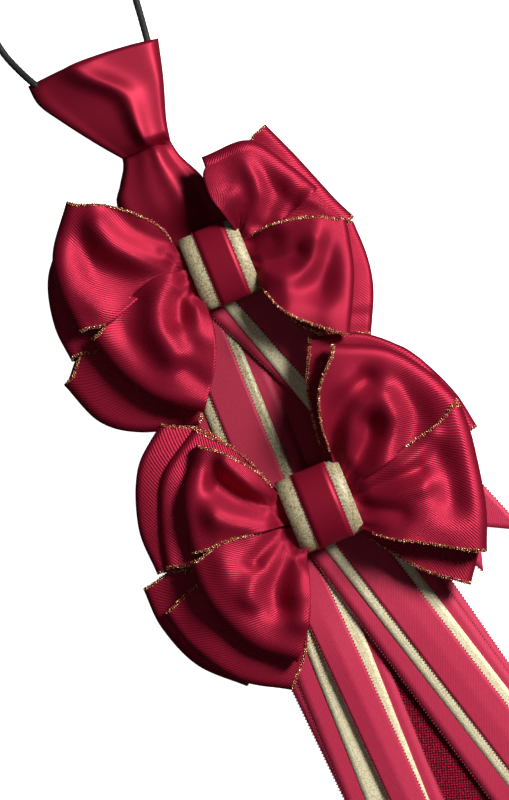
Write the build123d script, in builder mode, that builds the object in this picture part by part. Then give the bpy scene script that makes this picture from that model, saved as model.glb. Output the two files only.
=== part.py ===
"""Pre-tied neck-tie rosette: a satin tie knot on an elastic cord, with two layered ribbon bows and long streamers.

It lies on its back. +Z points out of its front, +Y towards the knot, and the origin is on the
resting surface, under the middle of the upper bow. Sizes are millimetres.
"""
import math
import os

from build123d import *

os.makedirs("parts", exist_ok=True)

# Ribbon stock: wide satin, gold glitter and narrow satin, each with its lining of air.
WIDE = 38.0
GOLD = 25.0
NARROW = 16.0
SIDE_END = 25.0
RIBBON_T = 0.5
AIR = 0.3

# Bows: centres on the Y axis, the height of each bow's felt pad and of its top.
LOWER_BOW_Y = -109.3
PAD_R = 12.0
PAD_T = 1.5
UPPER_PAD_Z = 6.0
LOWER_PAD_Z = 9.4
UPPER_TOP_Z = 29.0
LOWER_TOP_Z = 37.0

# Thread shanks that the bows and streamers turn on.
SHANK_R = 1.5
RUNNING_FIT = 0.05
BLADE_BORE = 1.0

# The wrap round each bow's waist.
WRAP_HALF_Y = 16.2
WRAP_T = 0.5
BAR_T = 2.0
BAR_GAP = 0.3
BAR_W = 13.0
THREAD_D = 0.8
THREAD_TURNS = 7

# Tie blade and knot.
BLADE_T = 2.4
BLADE_WALL = 0.5
KNOT_T = 17.0
KNOT_WALL = 1.4
KNOT_ROUND = 5.0

# Elastic neck cord.
CORD_D = 3.0
CORD_HOLE_R = 1.6
COIL_MID_R = 15.0
COIL_TURNS = 2.25
COIL_CENTRE = (-32.0, 157.0)
COIL_Z = 1.6
COIL_PITCH = 3.05


def save(builder, name):
    """Label a finished piece and write it as its own STEP file."""
    builder.part.label = name
    export_step(builder.part, f"parts/{name}.step")


# ---------------------------------------------------------------- tie knot, blade and their fillings

KNOT_OUTLINE = [
    (-45.3, 100.2),
    (13.3, 98.4),
    (9.0, 82.0),
    (3.5, 66.0),
    (1.6, 56.5),
    (-20.0, 57.0),
    (-27.5, 66.5),
    (-37.5, 80.5),
    (-44.5, 92.0),
]
CORD_RUN_Y = 95.0
CORD_RUN_Z = 8.5


def knot_profile(inset):
    with BuildSketch() as profile:
        with BuildLine():
            Polyline(*KNOT_OUTLINE, close=True)
        make_face()
        if inset:
            offset(amount=-inset, kind=Kind.INTERSECTION)
    return profile.sketch


def tie_knot():
    """The folded satin shell of the knot, hollow round its filling."""
    with BuildPart() as knot:
        with BuildSketch():
            add(knot_profile(0))
        extrude(amount=KNOT_T)
        fillet(knot.faces().sort_by(Axis.Z)[-1].edges(), radius=KNOT_ROUND)
        with BuildSketch(Plane.XY.offset(KNOT_WALL)):
            add(knot_profile(KNOT_WALL + KNOT_ROUND / 2))
        extrude(amount=KNOT_T - 2 * KNOT_WALL - 1.0, mode=Mode.SUBTRACT)
        with BuildSketch(Plane.YZ.offset(-48.0)):
            with Locations((CORD_RUN_Y, CORD_RUN_Z)):
                Circle(CORD_HOLE_R)
        extrude(amount=64.0, mode=Mode.SUBTRACT)
    save(knot, "tie_knot")


def knot_core():
    """The foam filling that keeps the knot full, with a channel for the cord."""
    with BuildPart() as core:
        with BuildSketch(Plane.XY.offset(KNOT_WALL + 0.1)):
            add(knot_profile(KNOT_WALL + KNOT_ROUND / 2 + 0.1))
        extrude(amount=KNOT_T - 2 * KNOT_WALL - 1.2)
        with BuildSketch(Plane.YZ.offset(-48.0)):
            with Locations((CORD_RUN_Y, CORD_RUN_Z)):
                Circle(CORD_HOLE_R)
        extrude(amount=64.0, mode=Mode.SUBTRACT)
    save(core, "knot_core")


def cord_inside_knot():
    """The stretch of elastic that runs through the knot from corner to corner."""
    with BuildPart() as run:
        with BuildSketch(Plane.YZ.offset(-42.0)):
            with Locations((CORD_RUN_Y, CORD_RUN_Z)):
                Circle(CORD_D / 2)
        extrude(amount=51.5)
    save(run, "cord_inside_knot")


BLADE_OUTLINE = [
    (-20.0, 57.0),
    (1.6, 56.5),
    (9.5, 38.0),
    (9.7, 26.0),
    (18.0, 0.0),
    (18.0, -60.0),
    (19.0, -136.0),
    (0.0, -150.0),
    (-19.0, -136.0),
    (-21.0, -60.0),
    (-24.0, 0.0),
    (-29.6, 39.0),
]


def blade_profile(inset):
    with BuildSketch() as profile:
        with BuildLine():
            Polyline(*BLADE_OUTLINE, close=True)
        make_face()
        if inset:
            offset(amount=-inset, kind=Kind.INTERSECTION)
    return profile.sketch


def tie_blade():
    """The flat satin tube that hangs from the knot and carries both bows."""
    with BuildPart() as blade:
        with BuildSketch():
            add(blade_profile(0))
        extrude(amount=BLADE_T)
        with BuildSketch(Plane.XY.offset(BLADE_WALL)):
            add(blade_profile(1.5))
        extrude(amount=BLADE_T - 2 * BLADE_WALL, mode=Mode.SUBTRACT)
        with BuildSketch(Plane.XY.offset(BLADE_BORE)):
            with Locations((0, 0), (0, LOWER_BOW_Y)):
                Circle(SHANK_R)
        extrude(amount=BLADE_T, mode=Mode.SUBTRACT)
    save(blade, "tie_blade")


def blade_interlining():
    """The woven stiffener inside the blade."""
    with BuildPart() as lining:
        with BuildSketch(Plane.XY.offset(BLADE_WALL)):
            add(blade_profile(1.6))
        extrude(amount=BLADE_T - 2 * BLADE_WALL - 0.1)
        with BuildSketch(Plane.XY.offset(BLADE_BORE)):
            with Locations((0, 0), (0, LOWER_BOW_Y)):
                Circle(SHANK_R)
        extrude(amount=BLADE_T, mode=Mode.SUBTRACT)
    save(lining, "blade_interlining")


# ---------------------------------------------------------------- ribbons


def ribbon(name, width, start, angle, length, z, pivots, notch=0.0, slant=0.0, end_width=None):
    """A flat ribbon from a start point, turned by an angle from -Y towards +X, with a cut end.

    A notch makes a swallow tail of that depth, a slant cuts the end off at an angle, and an end
    width under the ribbon's own is for one that cups as it runs out.
    """
    half = width / 2
    end = (end_width or width) / 2
    turn = math.radians(angle)
    plane = Plane(origin=(start[0], start[1], z), x_dir=(math.cos(turn), math.sin(turn), 0), z_dir=(0, 0, 1))
    with BuildPart() as strip:
        with BuildSketch(plane):
            with BuildLine():
                Polyline((-half, 0), (half, 0), (end, -length - slant), (0, notch - length - slant / 2),
                         (-end, -length), close=True)
            make_face()
        extrude(amount=RIBBON_T)
        with BuildSketch(Plane.XY.offset(z)):
            with Locations(*pivots):
                Circle(SHANK_R + RUNNING_FIT)
        extrude(amount=RIBBON_T, mode=Mode.SUBTRACT)
    save(strip, name)


UPPER = (0.0, 0.0)
LOWER = (0.0, LOWER_BOW_Y)
CARRIER_Z = BLADE_T
SIDE_Z = CARRIER_Z + 3 * RIBBON_T + AIR
INNER_Z = SIDE_Z
LEFT_Z = INNER_Z + RIBBON_T + AIR
MAIN_Z = LEFT_Z + 4 * RIBBON_T + AIR


def carrier_ribbons():
    """The layered streamer stitched under both bows."""
    for layer, (name, width, middle) in enumerate((("wide", WIDE, -15.6), ("gold", GOLD, -15.8),
                                                   ("narrow", NARROW, -15.4))):
        ribbon(f"carrier_{name}", width, (middle, 12.0), 0.0, 136.0, CARRIER_Z + layer * RIBBON_T,
               [UPPER, LOWER])


def side_tail():
    """The streamer that slants out from the upper bow to a swallow-tail end."""
    ribbon("side_tail_wide", WIDE, (-2.1, 10.0), 22.5, 181.0, SIDE_Z, [UPPER], notch=15.0,
           end_width=SIDE_END)
    ribbon("side_tail_gold", GOLD, (0.9, 10.0), 17.5, 112.0, SIDE_Z + RIBBON_T, [UPPER])
    ribbon("side_tail_narrow", NARROW, (0.9, 10.0), 19.5, 108.0, SIDE_Z + 2 * RIBBON_T, [UPPER])


def left_tail():
    """The left-hand streamer: three ribbons over a fourth that shows at its left edge."""
    z = LEFT_Z
    ribbon("left_tail_under", WIDE, (-24.0, -97.0), 3.5, 192.0, z, [LOWER], slant=12.0)
    ribbon("left_tail_wide", WIDE, (-16.0, -97.0), 0.2, 206.0, z + RIBBON_T, [LOWER], notch=15.0)
    ribbon("left_tail_gold", GOLD, (-12.8, -97.0), -0.6, 200.0, z + 2 * RIBBON_T, [LOWER], slant=-9.0)
    ribbon("left_tail_narrow", NARROW, (-15.9, -97.0), 2.6, 196.0, z + 3 * RIBBON_T, [LOWER], slant=8.0)


def inner_tail():
    """The streamer that lies wrong side up between the left and the main ones."""
    ribbon("inner_tail_ribbon", WIDE, (-2.5, -97.0), 6.5, 190.0, INNER_Z, [LOWER], notch=15.0)


def main_tail():
    """The front streamer: three ribbons over a fourth that shows at its right edge."""
    z = MAIN_Z
    ribbon("main_tail_under", WIDE, (9.8, -97.0), 12.5, 194.0, z, [LOWER], slant=-12.0)
    ribbon("main_tail_wide", WIDE, (2.6, -97.0), 14.2, 206.0, z + RIBBON_T, [LOWER], notch=15.0)
    ribbon("main_tail_gold", GOLD, (2.1, -97.0), 15.4, 203.0, z + 2 * RIBBON_T, [LOWER], slant=9.0)
    ribbon("main_tail_narrow", NARROW, (2.4, -97.0), 15.3, 198.0, z + 3 * RIBBON_T, [LOWER], slant=-8.0)


# ---------------------------------------------------------------- bows


def shank(name, centre_y, pad_z):
    """The thread shank from the blade up into a bow's pad."""
    with BuildPart() as post:
        with BuildSketch(Plane.XY.offset(BLADE_BORE)):
            with Locations((0, centre_y)):
                Circle(SHANK_R)
        extrude(amount=pad_z + PAD_T - 0.2 - BLADE_BORE)
    save(post, name)


def backing_pad(name, centre_y, pad_z):
    """The felt disc behind a bow, which turns on the thread shank."""
    with BuildPart() as pad:
        with BuildSketch(Plane.XY.offset(pad_z)):
            with Locations((0, centre_y)):
                Circle(PAD_R)
                Circle(SHANK_R + RUNNING_FIT, mode=Mode.SUBTRACT)
        extrude(amount=PAD_T)
    save(pad, name)


def loop_ribbon(name, centre_y, lobes, z_low, z_high, bar_z):
    """One ribbon of a bow: two opposite lobes joined by a bar through the waist.

    Each lobe is an angle, a reach and a half width at its outer fold.
    """
    with BuildPart() as loops:
        for angle, reach, half_fold in lobes:
            side = 1 if math.cos(math.radians(angle)) > 0 else -1
            up = 1 if math.sin(math.radians(angle)) > 0 else -1
            inner_x = side * 13.4
            along = (math.cos(math.radians(angle)), math.sin(math.radians(angle)))
            across = (-along[1], along[0])
            base = 0.86 * reach

            def corner(sign):
                return (along[0] * base + sign * half_fold * across[0],
                        centre_y + along[1] * base + sign * half_fold * across[1])

            first, second = corner(1), corner(-1)
            if (first[1] - second[1]) * up < 0:
                first, second = second, first
            tip = (along[0] * reach, centre_y + along[1] * reach)
            with BuildSketch(Plane.XY.offset(z_low)):
                with BuildLine():
                    Polyline((inner_x, centre_y + up * 0.2), (inner_x, centre_y + up * 14.0), first)
                    ThreePointArc(first, tip, second)
                    Line(second, (inner_x, centre_y + up * 0.2))
                make_face()
            extrude(amount=z_high - z_low)
        slope = 1 if math.sin(math.radians(lobes[0][0])) * math.cos(math.radians(lobes[0][0])) > 0 else -1
        with BuildSketch(Plane.XY.offset(bar_z)):
            with BuildLine():
                Polyline(
                    (-14.0, centre_y - slope * 7.0 - BAR_W / 2),
                    (-14.0, centre_y - slope * 7.0 + BAR_W / 2),
                    (14.0, centre_y + slope * 7.0 + BAR_W / 2),
                    (14.0, centre_y + slope * 7.0 - BAR_W / 2),
                    close=True,
                )
            make_face()
        extrude(amount=BAR_T)
    save(loops, name)


def stadium_ring(centre_y, half_y, z_low, z_high, width, wall, x_mid=0.0):
    """A closed band round a bow's waist, with its axis along X."""
    height = z_high - z_low
    with BuildSketch(Plane.YZ.offset(x_mid - width / 2)) as profile:
        with Locations((centre_y, z_low + height / 2)):
            RectangleRounded(2 * half_y, height, height * 0.38)
            RectangleRounded(2 * (half_y - wall), height - 2 * wall, height * 0.38 - wall, mode=Mode.SUBTRACT)
    return profile.sketch


def wrap_band(name, centre_y, z_low, z_high, width, half_y):
    with BuildPart() as band:
        add(stadium_ring(centre_y, half_y, z_low, z_high, width, WRAP_T))
        extrude(amount=width, dir=(1, 0, 0))
    save(band, name)


def binding_thread(name, centre_y, z_low, z_high, half_y):
    """The turns of thread that gather the waist under the wrap."""
    with BuildPart() as turns:
        for turn in range(THREAD_TURNS):
            x_mid = (turn - (THREAD_TURNS - 1) / 2) * 1.3
            add(stadium_ring(centre_y, half_y, z_low, z_high, THREAD_D, THREAD_D, x_mid))
            extrude(amount=THREAD_D, dir=(1, 0, 0))
    save(turns, name)


def bow(prefix, centre_y, pad_z, top_z, tiers):
    """A whole bow: pad, waist thread, two wrap bands and its tiers of loop ribbons.

    Each tier is its name and, for each of its two ribbons, the two lobes.
    """
    wrap_low = pad_z + PAD_T + 0.1
    bar_low = wrap_low + 2 * WRAP_T + THREAD_D + 0.4
    bars = 2 * len(tiers)
    wrap_high = bar_low + bars * (BAR_T + BAR_GAP) + THREAD_D + 2 * WRAP_T + 0.2
    backing_pad(f"{prefix}_backing_pad", centre_y, pad_z)
    wrap_band(f"{prefix}_satin_band", centre_y, wrap_low, wrap_high, NARROW, WRAP_HALF_Y)
    wrap_band(f"{prefix}_gold_band", centre_y, wrap_low + WRAP_T, wrap_high - WRAP_T, GOLD,
              WRAP_HALF_Y - WRAP_T)
    inner = 2 * WRAP_T + 0.1
    binding_thread(f"{prefix}_binding_thread", centre_y, wrap_low + inner, wrap_high - inner,
                   WRAP_HALF_Y - inner)
    pitch = BAR_T + BAR_GAP
    for number, (tier, lobes) in enumerate(tiers):
        z_low = bar_low + 2 * number * pitch if number else pad_z + PAD_T
        z_high = bar_low + 2 * (number + 1) * pitch - BAR_GAP if number < len(tiers) - 1 else top_z
        for half, pair in enumerate(("a", "b")):
            bar_z = bar_low + (2 * number + half) * pitch
            loop_ribbon(f"{prefix}_{tier}_loop_{pair}", centre_y, lobes[half], z_low, z_high, bar_z)
        print(prefix, tier, "lobes", round(z_low, 2), round(z_high, 2))
    print(prefix, "wrap", round(wrap_low, 2), round(wrap_high, 2))


UPPER_TIERS = [
    ("back", (((162.0, 72.0, 25.0), (-30.0, 69.0, 22.0)), ((213.0, 78.0, 22.0), (27.0, 62.0, 24.0)))),
    ("front", (((160.0, 67.0, 25.0), (-27.0, 61.0, 22.0)), ((215.0, 63.0, 23.0), (45.0, 57.0, 23.0)))),
]
LOWER_TIERS = [
    ("back", (((155.0, 74.0, 22.0), (-35.0, 74.0, 20.0)), ((208.0, 81.0, 25.0), (26.0, 74.0, 20.0)))),
    ("middle", (((158.0, 66.0, 22.0), (-30.0, 70.0, 20.0)), ((214.0, 78.0, 25.0), (30.0, 72.0, 20.0)))),
    ("front", (((158.0, 57.0, 20.0), (-14.0, 73.0, 22.0)), ((212.0, 63.0, 24.0), (32.0, 72.0, 24.0)))),
]


# ---------------------------------------------------------------- elastic cord

LEFT_ROUTE = [
    (-43.6, 102.0, 8.0),
    (-46.9, 109.5, 4.0),
    (-50.0, 118.0, 1.7),
    (-52.0, 132.0, 1.6),
    (-47.0, 146.5, 1.6),
]
RIGHT_ROUTE = [
    (-21.5, 172.0, 7.9),
    (-6.0, 169.0, 5.0),
    (7.0, 158.0, 1.9),
    (12.8, 143.0, 1.6),
    (11.6, 127.0, 1.6),
    (10.4, 114.0, 3.2),
    (8.8, 100.6, 8.2),
]


def cord_tube(name, route):
    """A cord along straight runs joined by arcs as large as the runs allow."""
    points = [Vector(*p) for p in route]
    runs = [b - a for a, b in zip(points, points[1:])]
    radii = []
    for before, after in zip(runs, runs[1:]):
        turn = math.radians(before.get_angle(after))
        radii.append(0.45 * min(before.length, after.length) / math.tan(turn / 2))
    with BuildPart() as tube:
        with BuildLine() as path:
            FilletPolyline(*route, radius=radii)
        with BuildSketch(Plane(origin=points[0], z_dir=runs[0])):
            Circle(CORD_D / 2)
        sweep()
    length = sum(edge.length for edge in path.edges())
    section = math.pi * CORD_D ** 2 / 4
    print(name, "radii", [round(r, 1) for r in radii], "length", round(length, 1),
          "volume ratio", round(tube.part.volume / (section * length), 4))
    save(tube, name)


def cord_coil():
    """The outer shape of the stacked turns of spare cord."""
    height = COIL_Z + COIL_TURNS * COIL_PITCH + CORD_D / 2 - 0.1
    with BuildPart() as coil:
        with BuildSketch():
            with Locations(COIL_CENTRE):
                Circle(COIL_MID_R + CORD_D / 2 + 0.1)
                Circle(COIL_MID_R - CORD_D / 2 - 0.1, mode=Mode.SUBTRACT)
        extrude(amount=height)
        fillet(coil.edges().filter_by(GeomType.CIRCLE), radius=0.8)
    save(coil, "neck_cord_coil")
    print("coil height", round(height, 2), "cord in coil", round(COIL_TURNS * 2 * math.pi * COIL_MID_R, 1))


tie_knot()
knot_core()
cord_inside_knot()
tie_blade()
blade_interlining()
carrier_ribbons()
side_tail()
inner_tail()
left_tail()
main_tail()
shank("upper_shank", 0.0, UPPER_PAD_Z)
shank("lower_shank", LOWER_BOW_Y, LOWER_PAD_Z)
bow("upper", 0.0, UPPER_PAD_Z, UPPER_TOP_Z, UPPER_TIERS)
bow("lower", LOWER_BOW_Y, LOWER_PAD_Z, LOWER_TOP_Z, LOWER_TIERS)
cord_tube("neck_cord_left", LEFT_ROUTE)
cord_tube("neck_cord_right", RIGHT_ROUTE)
cord_coil()
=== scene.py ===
# %% [markdown]
# # A ribbon ornament: knot, two bows and streamers
# The piece is a ready-tied satin neck tie with two layered bows and long streamers, and it lies on
# its back. The CAD model fixes every size and joint, so it is loaded first and never moved. All
# that follows dresses it: each soft piece is made where its plain CAD solid lies, rides on the
# same body, and takes that solid's place.

# %% The frame
import math

import bmesh
import bpy
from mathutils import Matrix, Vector, noise


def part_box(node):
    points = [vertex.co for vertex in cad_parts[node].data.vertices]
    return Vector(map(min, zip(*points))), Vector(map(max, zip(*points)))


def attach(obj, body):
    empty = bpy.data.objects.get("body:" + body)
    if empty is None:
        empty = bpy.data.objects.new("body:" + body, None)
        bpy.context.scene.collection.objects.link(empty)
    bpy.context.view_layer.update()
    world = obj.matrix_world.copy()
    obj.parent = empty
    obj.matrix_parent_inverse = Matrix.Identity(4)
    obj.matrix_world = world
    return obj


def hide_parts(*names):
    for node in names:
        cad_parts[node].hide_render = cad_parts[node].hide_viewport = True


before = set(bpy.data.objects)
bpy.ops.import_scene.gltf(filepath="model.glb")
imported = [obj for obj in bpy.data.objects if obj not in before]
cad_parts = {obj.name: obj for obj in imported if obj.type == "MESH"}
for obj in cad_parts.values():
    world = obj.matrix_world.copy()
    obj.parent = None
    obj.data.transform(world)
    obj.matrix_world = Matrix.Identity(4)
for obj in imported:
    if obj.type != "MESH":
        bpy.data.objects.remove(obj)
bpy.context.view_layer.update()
MM = 0.001
UPPER_Y = 0.0
LOWER_Y = (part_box("lower_backing_pad")[0][1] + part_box("lower_backing_pad")[1][1]) / 2 / MM
print("the lower bow's middle lies at y =", round(LOWER_Y, 1), "mm")

# %% [markdown]
# ## The view
# The ornament is seen from straight above, with its length turned about twenty-two degrees on the
# floor. A long lens keeps the far and near loops the same size. The floor and the lamps are a plain
# studio: one soft key lamp halfway up on the knot's right, so that every ribbon edge throws a small
# shadow and the satin folds get one bright side, and a wide weak lamp on the left that opens the
# shadows.

# %% Camera
TILT = math.radians(22.13)
LOOK_AT = Vector((-6.6 * MM, -58.0 * MM, 0))
CAMERA_HEIGHT = 1.30
FRAME_HEIGHT = 0.336
FRONT_LEVEL = 0.010
SENSOR = 36.0


def in_scene(name, data):
    """A new object at the origin, linked into the scene."""
    thing = bpy.data.objects.new(name, data)
    bpy.context.scene.collection.objects.link(thing)
    return thing


camera_data = bpy.data.cameras.new("camera")
camera_data.sensor_width = SENSOR
camera_data.lens = SENSOR * (CAMERA_HEIGHT - FRONT_LEVEL) / FRAME_HEIGHT
camera = in_scene("camera", camera_data)
camera.location = (LOOK_AT.x, LOOK_AT.y, CAMERA_HEIGHT)
camera.rotation_euler = (0, 0, -TILT)
bpy.context.scene.camera = camera
print("lens", round(camera_data.lens, 1), "mm")

# %% Lamps and world


def soft_lamp(name, place, size, watts, colour):
    data = bpy.data.lights.new(name, "AREA")
    data.shape = "RECTANGLE"
    data.size, data.size_y = size
    data.energy = watts
    data.color = colour
    lamp = in_scene(name, data)
    lamp.location = place
    away = LOOK_AT - Vector(place)
    lamp.rotation_euler = away.to_track_quat("-Z", "Y").to_euler()
    print(name, "lamp", round(away.length, 2), "m away, at", watts, "watts")


soft_lamp("key", (0.79, 0.16, 0.84), (0.30, 0.36), 19.5, (1.0, 0.985, 0.96))
soft_lamp("fill", (-0.35, -0.10, 1.35), (0.6, 0.6), 0.5, (0.97, 0.98, 1.0))

world = bpy.data.worlds.new("studio")
bpy.context.scene.world = world
world.use_nodes = True
background = world.node_tree.nodes["Background"].inputs
background["Color"].default_value = (1, 1, 1, 1)
background["Strength"].default_value = 0.035
bpy.context.scene.view_settings.view_transform = "Standard"

# %% [markdown]
# ## Finishes
# Satin looks the way it does because its long floating threads all lie one way: they reflect like
# tiny mirrors across the thread and hardly at all along it. Every satin here is therefore an
# anisotropic surface whose grain follows the ribbon's own UV map, measured in metres along and
# across the cloth, with a faint twill line as a bump. Glitter ribbon is a field of small cells, each
# with its own brightness and a touch of green or pink.

# %% Material helpers
WAVE_BANDS = 3.1831
TWILL_TURN = math.radians(38)
TWILL_SHARE = 0.75


def fill(tree, made, inputs):
    """Sets a node's inputs, each to a plain value or to another node's output."""
    for key, value in inputs.items():
        if isinstance(value, bpy.types.NodeSocket):
            tree.links.new(value, made.inputs[key])
        else:
            made.inputs[key].default_value = value


def node(tree, kind, inputs=None, **settings):
    """A new node: its settings first, because they decide which inputs it has."""
    made = tree.nodes.new(kind)
    for key, value in settings.items():
        setattr(made, key, value)
    fill(tree, made, inputs or {})
    return made


def new_material(name):
    material = bpy.data.materials.new(name)
    material.use_nodes = True
    tree = material.node_tree
    return material, tree, tree.nodes["Principled BSDF"]


def bump_from(tree, height, strength, distance):
    values = {"Height": height, "Strength": strength, "Distance": distance}
    return node(tree, "ShaderNodeBump", values).outputs["Normal"]


def mix_colours(tree, factor, first, second):
    values = {"Factor": factor, "A": (*first, 1), "B": (*second, 1)}
    return node(tree, "ShaderNodeMix", values, data_type="RGBA").outputs["Result"]


def mottle(tree, scale, detail):
    """Soft spots of noise through the object's own space."""
    coords = node(tree, "ShaderNodeTexCoord").outputs["Object"]
    values = {"Vector": coords, "Scale": scale, "Detail": detail}
    return node(tree, "ShaderNodeTexNoise", values).outputs["Fac"]


def cloth_map(tree, **values):
    """The cloth's UV map, turned and scaled."""
    uv = node(tree, "ShaderNodeUVMap", uv_map="cloth").outputs["UV"]
    return node(tree, "ShaderNodeMapping", {"Vector": uv, **values}).outputs["Vector"]


def satin(name, deep, bright, roughness, metallic, grain, twill, depth):
    """Satin with a grain along the cloth, fine twill lines and a slow change of colour."""
    material, tree, shader = new_material(name)
    lines = node(tree, "ShaderNodeTexWave", {
        "Vector": cloth_map(tree, Rotation=(0, 0, TWILL_TURN)), "Scale": 1.0 / twill / WAVE_BANDS,
        "Distortion": 0.6, "Detail": 1.0}, bands_direction="X").outputs["Fac"]
    blend = node(tree, "ShaderNodeMath", {0: lines, 1: TWILL_SHARE, 2: mottle(tree, 900.0, 3.0)},
                 operation="MULTIPLY_ADD")
    tangent = node(tree, "ShaderNodeTangent", direction_type="UV_MAP", uv_map="cloth")
    fill(tree, shader, {
        "Base Color": mix_colours(tree, blend.outputs["Value"], deep, bright),
        "Tangent": tangent.outputs["Tangent"], "Normal": bump_from(tree, lines, 0.55, depth),
        "Roughness": roughness, "Metallic": metallic, "Anisotropic": grain, "Specular IOR Level": 0.3})
    return material


# %% Satins
bow_satin = satin("bow satin", (0.22, 0.004, 0.019), (0.38, 0.010, 0.042), 0.52, 0.6, 0.45, 0.00095, 0.00018)
tie_satin = satin("tie satin", (0.25, 0.004, 0.020), (0.33, 0.008, 0.035), 0.50, 0.55, 0.4, 0.0005, 0.00002)
streamer_satin = satin("streamer satin", (0.36, 0.010, 0.042), (0.58, 0.030, 0.088), 0.55, 0.1, 0.3,
                       0.0007, 0.00008)
# The satin of the carrier ribbons is the streamer satin darkened: painted shade of the two bows that hang
# over the carrier ribbons.
carrier_satin_painted_shade = satin("carrier satin in painted shade", (0.24, 0.006, 0.026), (0.40, 0.016, 0.055), 0.55, 0.1, 0.3,
                      0.0007, 0.00008)
band_satin = satin("band satin", (0.21, 0.003, 0.018), (0.30, 0.006, 0.03), 0.46, 0.5, 0.4, 0.0005, 0.00002)
band_satin.node_tree.nodes["Principled BSDF"].inputs["Anisotropic Rotation"].default_value = 0.25


def dotted_back(name, deep, dot, spacing):
    """The matt wrong side of satin: a dark ground with rows of small bright floats."""
    material, tree, shader = new_material(name)
    turned = cloth_map(tree, Rotation=(0, 0, math.radians(25)), Scale=(1 / spacing, 1 / spacing, 1))
    dots = node(tree, "ShaderNodeTexVoronoi", {"Vector": turned, "Scale": 1.0, "Randomness": 0.25})
    near = node(tree, "ShaderNodeMapRange", {"Value": dots.outputs["Distance"], "From Min": 0.42,
                                             "From Max": 0.15}).outputs["Result"]
    fill(tree, shader, {"Base Color": mix_colours(tree, near, deep, dot),
                        "Normal": bump_from(tree, near, 0.6, 0.0002),
                        "Roughness": 0.8, "Specular IOR Level": 0.1})
    return material


wrong_side = dotted_back("satin wrong side", (0.08, 0.001, 0.008), (0.66, 0.012, 0.06), 0.0011)
print(len(bpy.data.materials), "materials so far, with those of the CAD model")

# %% Gold glitter, metallic thread and plain threads
PALE_GOLD = (1.0, 0.93, 0.66)
SPECKLES = ((0.0, (0.38, 0.25, 0.09)), (0.3, (0.72, 0.58, 0.27)), (0.5, (1.0, 0.82, 0.50)),
            (0.8, (0.92, 0.90, 0.56)), (1.0, (1.0, 0.96, 0.80)))
# Stops run from dark crimson to pale pinkish gold, picked at random per stitch. The copper tones are the
# thread's own, the palest stop is a painted glint, and the dark crimson stop is painted shade on stitches
# that catch no light.
TINSEL_AND_PAINTED_GLINTS = ((0.36, (0.16, 0.012, 0.014)), (0.46, (0.46, 0.12, 0.05)), (0.54, (0.95, 0.52, 0.22)),
          (0.66, (1.0, 0.78, 0.52)))


def colour_ramp(tree, factor, stops):
    """A blend through several colours, each at its own place between 0 and 1."""
    tones = node(tree, "ShaderNodeValToRGB", {"Fac": factor})
    elements = tones.color_ramp.elements
    while len(elements) < len(stops):
        elements.new(0.5)
    for element, (place, tone) in zip(elements, stops):
        element.position = place
        element.color = (*tone, 1)
    return tones.outputs["Color"]


def glitter_weave(name, shade, contrast):
    """Pale gold ribbon of tiny glittering cells, from plain to strongly speckled."""
    material, tree, shader = new_material(name)
    coords = node(tree, "ShaderNodeTexCoord").outputs["Object"]
    cells = node(tree, "ShaderNodeTexVoronoi", {"Vector": coords, "Scale": 2300.0})
    split = node(tree, "ShaderNodeSeparateColor", {"Color": cells.outputs["Color"]}).outputs
    stops = [(place, [shade * (p + (t - p) * contrast) for p, t in zip(PALE_GOLD, tone)])
             for place, tone in SPECKLES]
    rough = node(tree, "ShaderNodeMapRange", {"Value": split["Green"], "To Min": 0.36, "To Max": 0.60})
    fill(tree, shader, {"Base Color": colour_ramp(tree, split["Red"], stops),
                        "Roughness": rough.outputs["Result"],
                        "Normal": bump_from(tree, split["Blue"], 0.35, 0.0002), "Metallic": 0.1})
    return material


def tinsel(name):
    """Copper-gold metallic thread; at random, stitches are painted pale gold as glints and dark crimson as
    shade.
    """
    material, tree, shader = new_material(name)
    fill(tree, shader, {"Base Color": colour_ramp(tree, mottle(tree, 1300.0, 1.0), TINSEL_AND_PAINTED_GLINTS),
                        "Metallic": 0.6, "Roughness": 0.28})
    return material


def plain_thread(name, deep, bright, roughness, scale, depth):
    """Matt thread, felt or paint: mottled, with a fine grain in its surface."""
    material, tree, shader = new_material(name)
    grain = mottle(tree, scale, 4.0)
    fill(tree, shader, {"Base Color": mix_colours(tree, grain, deep, bright),
                        "Normal": bump_from(tree, grain, 0.7, depth),
                        "Roughness": roughness, "Sheen Weight": 0.2})
    return material


gold_glitter = glitter_weave("gold glitter", 0.92, 0.55)
# This glitter is the gold glitter at half the brightness and fully speckled. It covers the wrap bands, and on
# the carrier ribbon its darkness is painted shade of the bows above.
wrap_glitter_and_painted_shade = glitter_weave("wrap glitter and painted shade", 0.50, 1.0)
metallic_thread_painted_glints = tinsel("metallic thread")
elastic_black = plain_thread("black elastic", (0.002, 0.002, 0.002), (0.012, 0.012, 0.012), 0.62,
                             2600.0, 0.0002)
picot_thread = plain_thread("picot thread", (0.16, 0.003, 0.015), (0.46, 0.03, 0.08), 0.5, 1800.0, 0.0001)
sewing_thread = plain_thread("sewing thread", (0.10, 0.002, 0.01), (0.36, 0.01, 0.04), 0.5, 1500.0, 0.0001)
seam_thread = plain_thread("seam thread", (0.20, 0.24, 0.13), (0.44, 0.46, 0.28), 0.6, 1500.0, 0.0001)
felt = plain_thread("felt", (0.12, 0.003, 0.012), (0.26, 0.012, 0.035), 0.95, 900.0, 0.0003)
floor_paint = plain_thread("floor", (0.90, 0.90, 0.90), (0.93, 0.93, 0.93), 0.8, 20.0, 0.00001)
print(len(bpy.data.materials), "materials in all")

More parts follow.
